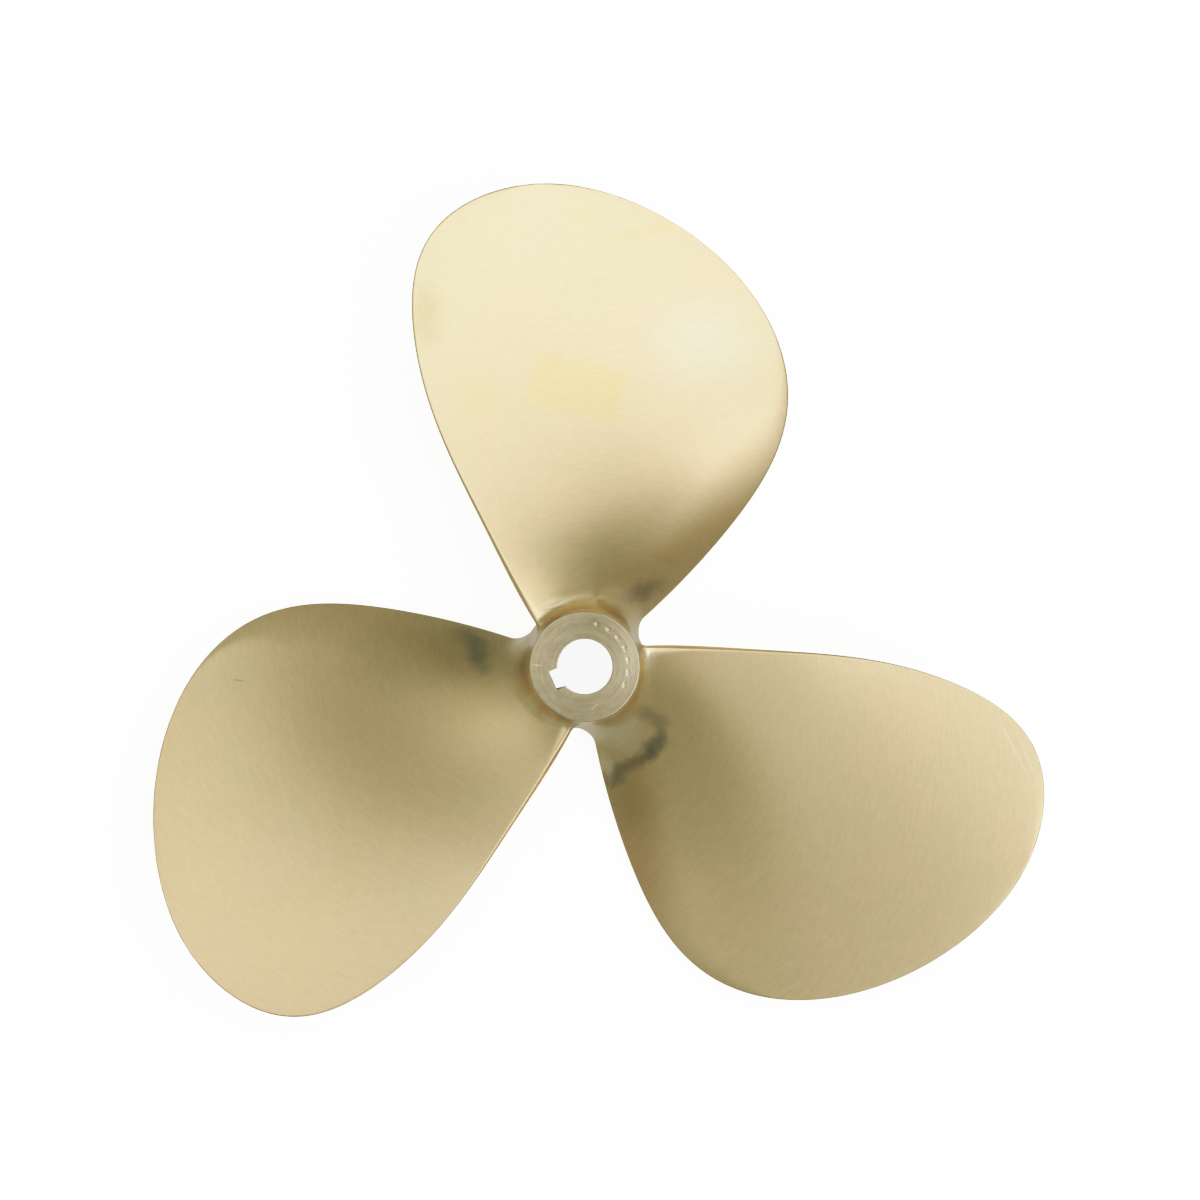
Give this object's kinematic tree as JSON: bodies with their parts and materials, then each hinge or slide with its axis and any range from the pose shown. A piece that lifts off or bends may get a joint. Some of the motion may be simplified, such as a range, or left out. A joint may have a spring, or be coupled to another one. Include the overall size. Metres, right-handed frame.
{
  "type": "ship propeller",
  "caption": "Right-handed boat propeller cast in one piece, with broad rounded blades, a tapered hub and a keyed tapered bore that a shaft drives.",
  "frame": {"origin": "on the shaft axis at half the hub's length, which is also about the centre of mass", "axes": "+Z along the shaft axis towards the aft, small end of the hub; +Y along the first blade; +X to the right as seen from aft"},
  "size_m": [0.3731, 0.3477, 0.075],
  "materials": {
    "bronze": "pale gold bronze, satin brushed"
  },
  "bodies": {
    "root": {"propeller": "bronze"}
  },
  "joints": []
}
